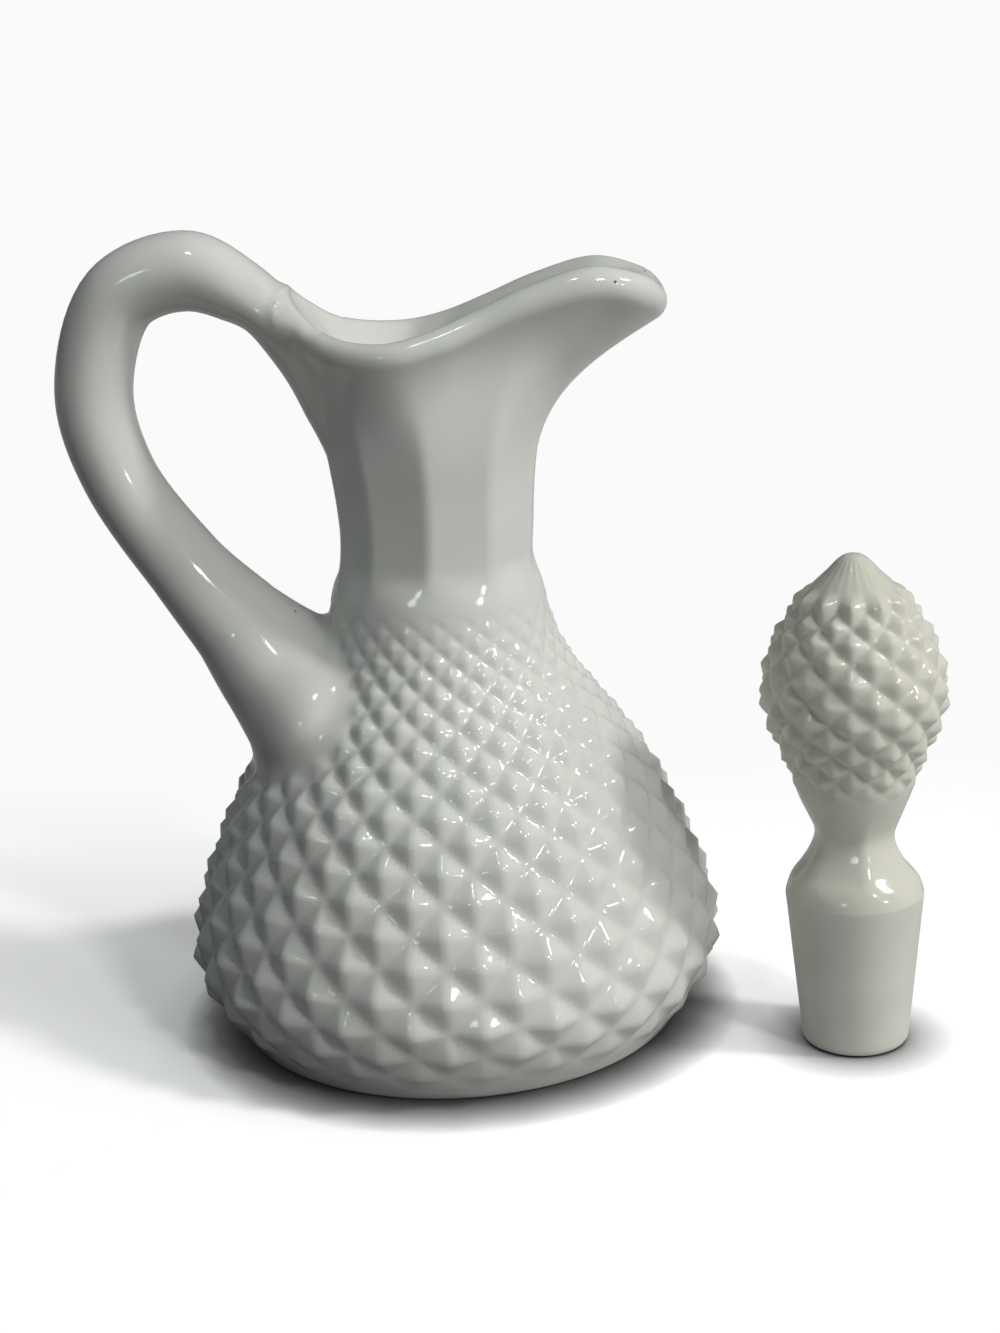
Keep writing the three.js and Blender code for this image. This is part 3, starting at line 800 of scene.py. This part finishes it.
FINIAL = Profile(
    [
        (WAIST_R, WAIST_Z),
        (FOOT_R, FOOT_Z),
        (FINIAL_R, FINIAL_Z),
        (CROWN_R, CROWN_Z),
        (CAP_R, CAP_Z),
    ]
)
FINIAL_STEPS = FINIAL.half_rows(FOOT_Z, CAP_Z, FINIAL_COLUMNS, FINIAL_PROPORTION)


def stopper_section(angle, stem, tip):
    """The stopper's outside at an angle, from the plug's end to the tip of the finial."""
    across = (angle - FINIAL_TURN) * FINIAL_COLUMNS / 180
    corner = FINIAL_TURN + 180 / FINIAL_COLUMNS
    panel = panelled(angle, WAIST_PANELS, corner, 2 * PANEL_ROUNDING)
    ring_top = PLUG_LENGTH + RING_H
    out = []
    for turn in PLUG_EDGE_TURNS:
        r = PLUG_END_R - PLUG_EDGE_R * (1 - sin(radians(turn)))
        out.append(around(angle, r, PLUG_EDGE_R * (1 - cos(radians(turn)))))
    for k in range(1, PLUG_ROWS + 1):
        share = k / PLUG_ROWS
        r = lerp(PLUG_END_R, RING_R, share)
        out.append(around(angle, r, lerp(PLUG_EDGE_R, PLUG_LENGTH, share)))
    for turn in RING_TURNS:
        r = RING_R - RING_H / 2 * (1 - cos(radians(turn)))
        out.append(around(angle, r, PLUG_LENGTH + RING_H * sin(radians(turn))))
    for k in range(1, STEM_ROWS):
        point = stem(k / STEM_ROWS)
        settled = smooth_step(ring_top, lerp(ring_top, WAIST_Z, 0.5), point.y)
        flat = WAIST_FLAT * settled * (1 - smooth_step(WAIST_Z, FOOT_Z, point.y))
        out.append(around(angle, point.x * lerp(1, panel, flat), point.y))
    for place, length in stepped(FINIAL_STEPS, FINIAL_ROWS_PER_STEP):
        point, way = FINIAL.at(length)
        depth = FINIAL_DEPTH * smooth_step(FOOT_Z, FOOT_Z + FINIAL_FADE, point.y)
        sunk = depth * (1 - diamond(across, place, FINIAL_RIDGE, FINIAL_SWELL))
        point = set_back(point, way, sunk)
        out.append(around(angle, point.x, point.y))
    last = Vector((out[-1].xy.length, out[-1].z))
    flute = CAP_FLUTE_DEPTH * (1 + cos(radians(angle - FINIAL_TURN) * CAP_FLUTES)) / 2
    for k in range(1, CAP_ROWS + 1):
        t = k / CAP_ROWS
        point = last.lerp(tip(t), smooth_step(0, CAP_BLEND, t))
        if t < CAP_BLEND:
            point.y = lerp(last.y, tip(CAP_BLEND).y, t / CAP_BLEND)
        cut = flute * sin(pi * min(t * FLUTE_RATE, 1))
        out.append(around(angle, max(point.x - cut, LEAST_R), point.y))
    return out


def make_stopper():
    """The stopper upright beside the cruet, on the axis that the frame gives it. Its shoulder falls
    from the ring to the waist, and its cap narrows to a small round tip, at shares of each one's
    width and height."""
    ring_top = PLUG_LENGTH + RING_H
    rise = WAIST_Z - ring_top
    foot = FINIAL.length_at(FOOT_Z)
    stem = curve_through(
        [
            Vector((RING_R - RING_H * 0.067, PLUG_LENGTH + RING_H / 2)),
            Vector((lerp(RING_R, WAIST_R, 0.17), ring_top + rise * 0.2)),
            Vector((lerp(RING_R, WAIST_R, 0.52), ring_top + rise * 0.45)),
            Vector((lerp(RING_R, WAIST_R, 0.84), ring_top + rise * 0.72)),
            Vector((WAIST_R, WAIST_Z)),
            FINIAL.at(foot / 2)[0],
            FINIAL.at(foot)[0],
        ]
    )
    tip = curve_through(
        [
            Vector((CAP_R - FINIAL_DEPTH * 0.7, CAP_Z)),
            Vector((lerp(CAP_R, TIP_R, 0.44), lerp(CAP_Z, STOPPER_H, 0.3))),
            Vector((lerp(CAP_R, TIP_R, 0.78), lerp(CAP_Z, STOPPER_H, 0.62))),
            Vector((TIP_R, STOPPER_H - TIP_R * 0.42)),
            Vector((TIP_R * 0.55, STOPPER_H - TIP_R * 0.11)),
            Vector((TIP_END_R, STOPPER_H)),
        ]
    )
    middle = (STOPPER_LOW + STOPPER_HIGH) / 2
    axis = Vector((middle.x, middle.y, 0))
    columns = []
    for k in range(STOPPER_COLUMNS):
        section = stopper_section(360 * k / STOPPER_COLUMNS, stem, tip)
        columns.append([axis + point for point in section])
    skin = drawn_through(list(zip(*columns)))
    return as_object("stopper_glass", skin)


def srgb(code):
    """A colour written as hex, in the linear values that the shaders take."""
    channels = [int(code[i : i + 2], 16) / 255 for i in (0, 2, 4)]
    return (*(c / 12.92 if c <= 0.04045 else ((c + 0.055) / 1.055) ** 2.4 for c in channels), 1.0)


def add(tree, kind, settings=None, **links):
    """Adds a node. A setting is a property of the node, or a value or another node's output for one
    of its inputs, by name or number. Links join inputs to other outputs by name."""
    node = tree.nodes.new(kind)
    for name, value in (settings or {}).items():
        if isinstance(value, bpy.types.NodeSocket):
            tree.links.new(value, node.inputs[name])
        elif isinstance(name, str) and hasattr(node, name):
            setattr(node, name, value)
        else:
            node.inputs[name].default_value = value
    for name, output in links.items():
        tree.links.new(output, node.inputs[name])
    return node


def opal_glass(name, pale, deep, cloud, glow, depth):
    """White glass before its finish. Opal makes it white: light spreads a little way into it and
    comes out warmer, and its colour is faintly clouded. The depth is in millimetres."""
    material = bpy.data.materials.new(name)
    material.use_nodes = True
    tree = material.node_tree
    shader = tree.nodes["Principled BSDF"]
    shader.inputs["IOR"].default_value = GLASS_IOR
    shader.inputs["Subsurface Weight"].default_value = glow
    shader.inputs["Subsurface Radius"].default_value = OPAL_SPREAD
    shader.inputs["Subsurface Scale"].default_value = depth * MM
    place = add(tree, "ShaderNodeTexCoord").outputs["Object"]
    clouds = add(tree, "ShaderNodeTexNoise", cloud, Vector=place).outputs["Fac"]
    tint = add(tree, "ShaderNodeValToRGB", {}, Fac=clouds)
    for stop, position, code in zip(tint.color_ramp.elements, CLOUD_ENDS, (deep, pale)):
        stop.position = position
        stop.color = srgb(code)
    return material, place, clouds, tint.outputs["Color"]


def finish(material, colour, roughness, reliefs):
    """Gives a glass its colour and roughness, and lays its reliefs over each other. Each relief has
    its pattern, its strength and its depth in millimetres."""
    tree = material.node_tree
    shader = tree.nodes["Principled BSDF"]
    tree.links.new(colour, shader.inputs["Base Color"])
    tree.links.new(roughness, shader.inputs["Roughness"])
    below = {}
    for pattern, strength, depth in reliefs:
        settings = {"Strength": strength, "Distance": depth * MM, "Height": pattern.outputs["Fac"]}
        below["Normal"] = add(tree, "ShaderNodeBump", settings, **below).outputs["Normal"]
    tree.links.new(below["Normal"], shader.inputs["Normal"])


def pressed_glass(name, pale, deep, grain, glow, specks):
    """Opaque white pressed glass, fire-polished: a glossy skin with long soft waves from the mould,
    a finer grain, a faint cloudiness from the opal, and specks of carbon from the batch at their
    places."""
    cloud = {"Scale": 1 / (CLOUD_WIDTH * MM), "Detail": 3.0, "Roughness": 0.55}
    material, place, _, colour = opal_glass(name, pale, deep, cloud, glow, PRESSED_SPREAD)
    tree = material.node_tree
    for speck in specks:
        reach = {"operation": "DISTANCE", 0: place, 1: Vector(speck) * MM}
        gap = add(tree, "ShaderNodeVectorMath", reach).outputs["Value"]
        edge = {"From Min": SPECK_R / 2 * MM, "From Max": SPECK_R * MM}
        clean = add(tree, "ShaderNodeMapRange", edge, Value=gap).outputs["Result"]
        spotted = {"data_type": "RGBA", "Factor": clean, 6: srgb(SPECK_COLOUR), 7: colour}
        colour = add(tree, "ShaderNodeMix", spotted).outputs[2]
    smeared = {"Scale": 1 / (SMEAR_WIDTH * MM), "Detail": 4.0}
    smears = add(tree, "ShaderNodeTexNoise", smeared, Vector=place).outputs["Fac"]
    polish = {"To Min": POLISH[0], "To Max": POLISH[1]}
    gloss = add(tree, "ShaderNodeMapRange", polish, Value=smears).outputs["Result"]
    soft = {"Scale": 1 / (WAVE_WIDTH * MM), "Detail": 2.0}
    waves = add(tree, "ShaderNodeTexNoise", soft, Vector=place)
    fine = {"Scale": 1 / (grain * MM), "Detail": 2.0}
    grains = add(tree, "ShaderNodeTexNoise", fine, Vector=place)
    finish(material, colour, gloss, ((waves, *WAVE_RELIEF), (grains, *GRAIN_RELIEF)))
    return material


def ground_glass(name, pale, deep):
    """The same glass ground with grit so that plug and neck seal: matt, with fine scratches that
    run round the taper, and the grain that the grit leaves."""
    cloud = {"Scale": 1 / (GROUND_CLOUD_WIDTH * MM), "Detail": 4.0}
    glass = opal_glass(name, pale, deep, cloud, GROUND_GLOW, GROUND_SPREAD)
    material, place, clouds, colour = glass
    tree = material.node_tree
    wear = {"To Min": WEAR[0], "To Max": WEAR[1]}
    worn = add(tree, "ShaderNodeMapRange", wear, Value=clouds).outputs["Result"]
    drawn_out = {"Scale": (SCRATCH_PACE, SCRATCH_PACE, 1.0)}
    level = add(tree, "ShaderNodeMapping", drawn_out, Vector=place).outputs["Vector"]
    scratched = {"Scale": 1 / (SCRATCH_WIDTH * MM), "Detail": 2.0}
    scratches = add(tree, "ShaderNodeTexNoise", scratched, Vector=level)
    gritty = {"Scale": 1 / (GRIT_WIDTH * MM), "Detail": 2.0}
    grit = add(tree, "ShaderNodeTexNoise", gritty, Vector=place)
    finish(material, colour, worn, ((scratches, *SCRATCH_RELIEF), (grit, *GRIT_RELIEF)))
    return material


def dress(piece, polished, ground, is_ground):
    """Smooth shading all over, and the ground finish on the faces where is_ground holds."""
    mesh = piece.data
    mesh.materials.clear()
    mesh.materials.append(polished)
    mesh.materials.append(ground)
    for face in mesh.polygons:
        face.use_smooth = True
        face.material_index = 1 if is_ground(face.center / MM) else 0


def in_socket(point):
    beside = point.xy.length < socket_radius(point.z) + GROUND_REACH
    return beside and SOCKET_END < point.z < SOCKET_TOP


def on_plug(point):
    return point.z < PLUG_LENGTH + RING_H / 2


def shown(tree):
    """How much of the white backdrop a ray meets: all of it if it comes straight from the camera or
    through clear glass, and a part in a reflection."""
    path = add(tree, "ShaderNodeLightPath").outputs
    straight = {"operation": "MAXIMUM", 0: path["Is Camera Ray"], 1: path["Is Transmission Ray"]}
    clear = add(tree, "ShaderNodeMath", straight).outputs["Value"]
    part = {"operation": "MULTIPLY", 0: path["Is Glossy Ray"], 1: BACKDROP_IN_GLOSS}
    mirrored = add(tree, "ShaderNodeMath", part).outputs["Value"]
    either = {"operation": "MAXIMUM", 0: clear, 1: mirrored}
    return add(tree, "ShaderNodeMath", either).outputs["Value"]


def painted_shade_factor(tree, reach, power):
    """Painted shade: 1 in the open, and down to 0 where the object stands close above the paper."""
    sky = add(tree, "ShaderNodeAmbientOcclusion", {"samples": 8, "Distance": reach}).outputs["AO"]
    return add(tree, "ShaderNodeMath", {"operation": "POWER", 0: sky, 1: power}).outputs["Value"]


def paper(name, bounce, lit, lift):
    """Matt white backdrop paper. The camera sees it white, with the shadows that fall on it, and
    with painted shade that darkens it where the glass stands close above it, most where they touch.
    It
    throws less light back at the glass: a bounce on the right, and only BOUNCE_LEFT of that on the
    left, which is painted shade for the dim left. Behind the object it sweeps up into the plain
    white of the backdrop."""
    material = bpy.data.materials.new(name)
    material.use_nodes = True
    tree = material.node_tree
    tree.nodes.remove(tree.nodes["Principled BSDF"])
    seen = shown(tree)
    place = add(tree, "ShaderNodeTexCoord").outputs["Object"]
    axes = add(tree, "ShaderNodeSeparateXYZ", {}, Vector=place).outputs
    # Painted shade: the paper's bounce tone is darker on the left than on the right.
    sides = {"From Min": -BOUNCE_SPREAD, "From Max": BOUNCE_SPREAD}
    bounces = {"To Min": bounce * BOUNCE_LEFT, "To Max": bounce}
    spread = {**sides, **bounces, "Value": axes["X"]}
    painted_bounce_tone = add(tree, "ShaderNodeMapRange", spread).outputs["Result"]
    # Painted shade: the paper's white and its glow are darkened where the glass stands close above
    # it.
    painted_contact_shade = painted_shade_factor(tree, CONTACT_REACH, CONTACT_POWER)
    shadowed = {"operation": "MULTIPLY", 0: painted_contact_shade, 1: lit}
    white = add(tree, "ShaderNodeMath", shadowed).outputs["Value"]
    tone = add(tree, "ShaderNodeMix", {0: seen, 2: painted_bounce_tone, 3: white}).outputs[0]
    matt = add(tree, "ShaderNodeBsdfDiffuse", {}, Color=tone).outputs["BSDF"]
    strength = lift
    for share in (painted_contact_shade, painted_shade_factor(tree, SHADE_REACH, SHADE_POWER), seen):
        both = {"operation": "MULTIPLY", 0: share, 1: strength}
        strength = add(tree, "ShaderNodeMath", both).outputs["Value"]
    glow = add(tree, "ShaderNodeEmission", {}, Strength=strength).outputs["Emission"]
    floor_paper = add(tree, "ShaderNodeAddShader", {0: matt, 1: glow}).outputs["Shader"]
    behind = {"interpolation_type": "SMOOTHSTEP", "From Min": SWEEP_START, "From Max": SWEEP_END}
    back = add(tree, "ShaderNodeMapRange", behind, Value=axes["Y"]).outputs["Result"]
    seen_back = {"operation": "MULTIPLY", 0: back, 1: seen}
    share = add(tree, "ShaderNodeMath", seen_back).outputs["Value"]
    plain = add(tree, "ShaderNodeEmission", {"Color": srgb(WHITE), "Strength": 1.0})
    ends = {0: share, 1: floor_paper, 2: plain.outputs["Emission"]}
    sweep = add(tree, "ShaderNodeMixShader", ends)
    tree.links.new(sweep.outputs["Shader"], tree.nodes["Material Output"].inputs["Surface"])
    return material


def make_floor():
    mesh = bpy.data.meshes.new("floor")
    bm = bmesh.new()
    bmesh.ops.create_grid(bm, x_segments=1, y_segments=1, size=FLOOR_HALF)
    bm.to_mesh(mesh)
    floor_object = bpy.data.objects.new("floor", mesh)
    bpy.context.scene.collection.objects.link(floor_object)
    mesh.materials.append(paper("white backdrop paper", PAPER_BOUNCE, PAPER_LIT, PAPER_LIFT))


def window(name, azimuth, elevation, width, power, colour):
    """Light from one side, as from a window a good way off: where it stands and how wide it looks
    from the glass, in degrees."""
    lamp = bpy.data.lights.new(name, "SUN")
    lamp.angle = radians(width)
    lamp.energy = power
    lamp.color = srgb(colour)[:3]
    holder = bpy.data.objects.new(name, lamp)
    place = around(azimuth, cos(radians(elevation)), sin(radians(elevation)))
    holder.location = place
    holder.rotation_euler = place.to_track_quat("Z", "Y").to_euler()
    bpy.context.scene.collection.objects.link(holder)
    return holder


def light_scene():
    """Light from a tall window with three panes on the right, a small window on the left, a lamp
    overhead, and a dim room that is cool on the left, warm on the right and lighter at its ceiling.
    The glass mirrors the panes, and not the soft daylight round them."""
    window(*DAYLIGHT).visible_glossy = False
    for lamp in WINDOWS:
        window(*lamp)
    world = bpy.data.worlds.new("room")
    bpy.context.scene.world = world
    world.use_nodes = True
    tree = world.node_tree
    room = tree.nodes["Background"]
    ways = add(tree, "ShaderNodeTexCoord").outputs["Generated"]
    axes = add(tree, "ShaderNodeSeparateXYZ", {}, Vector=ways).outputs
    across = add(tree, "ShaderNodeMapRange", {"From Min": -1.0}, Value=axes["X"]).outputs["Result"]
    walls = add(tree, "ShaderNodeValToRGB", {}, Fac=across)
    walls.color_ramp.elements[0].color = srgb(LEFT_WALL)
    walls.color_ramp.elements[1].color = srgb(RIGHT_WALL)
    upwards = {"From Min": 0.0, "From Max": 1.0, "To Min": ROOM_LOW, "To Max": ROOM_HIGH}
    ceiling = add(tree, "ShaderNodeMapRange", upwards, Value=axes["Z"]).outputs["Result"]
    sideways = {"From Min": ROOM_RIGHT_START, "From Max": 1.0, "To Min": 0.0, "To Max": ROOM_RIGHT}
    side = add(tree, "ShaderNodeMapRange", sideways, Value=axes["X"]).outputs["Result"]
    both = {"operation": "ADD", 0: ceiling, 1: side}
    strength = add(tree, "ShaderNodeMath", both).outputs["Value"]
    tree.links.new(walls.outputs["Color"], room.inputs["Color"])
    tree.links.new(strength, room.inputs["Strength"])
    white = add(tree, "ShaderNodeBackground", {"Color": srgb(WHITE), "Strength": 1.0})
    ends = {0: shown(tree), 1: room.outputs["Background"], 2: white.outputs["Background"]}
    pick = add(tree, "ShaderNodeMixShader", ends)
    tree.links.new(pick.outputs["Shader"], tree.nodes["World Output"].inputs["Surface"])


def set_camera():
    """The camera, turned by its yaw from straight ahead, then tipped down, then rolled."""
    camera = bpy.data.cameras.new("camera")
    camera.sensor_fit = "VERTICAL"
    camera.sensor_height = CAMERA_SENSOR
    camera.lens = CAMERA_LENS
    camera.clip_start = CAMERA_CLIP
    holder = bpy.data.objects.new("camera", camera)
    yaw, pitch, roll = (radians(a) for a in (CAMERA_YAW, CAMERA_PITCH, CAMERA_ROLL))
    ahead = Vector((sin(yaw) * cos(pitch), cos(yaw) * cos(pitch), -sin(pitch)))
    level = Vector((cos(yaw), -sin(yaw), 0))
    upright = level.cross(ahead)
    right = level * cos(roll) + upright * sin(roll)
    top = upright * cos(roll) - level * sin(roll)
    turned = Matrix((right, top, -ahead)).transposed().to_4x4()
    holder.matrix_world = Matrix.Translation(CAMERA_PLACE) @ turned
    bpy.context.scene.collection.objects.link(holder)
    bpy.context.scene.camera = holder


bpy.context.scene.view_settings.view_transform = "Standard"
set_camera()
light_scene()
make_floor()

milk = pressed_glass(
    "pressed milk glass", pale="E5E6DF", deep="DFE1DA", grain=1.1, glow=0.15, specks=SPECKS
)
ivory = pressed_glass(
    "pressed ivory milk glass", pale="E4E3D6", deep="DEDDCF", grain=0.9, glow=0.4, specks=()
)
ground_milk = ground_glass("ground milk glass", pale="E2E1D7", deep="DCDBD0")

cruet = make_cruet()
dress(cruet, milk, ground_milk, in_socket)
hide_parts("cruet")
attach(cruet, "cruet")

stopper = make_stopper()
dress(stopper, ivory, ground_milk, on_plug)
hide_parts("stopper")
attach(stopper, "stopper")
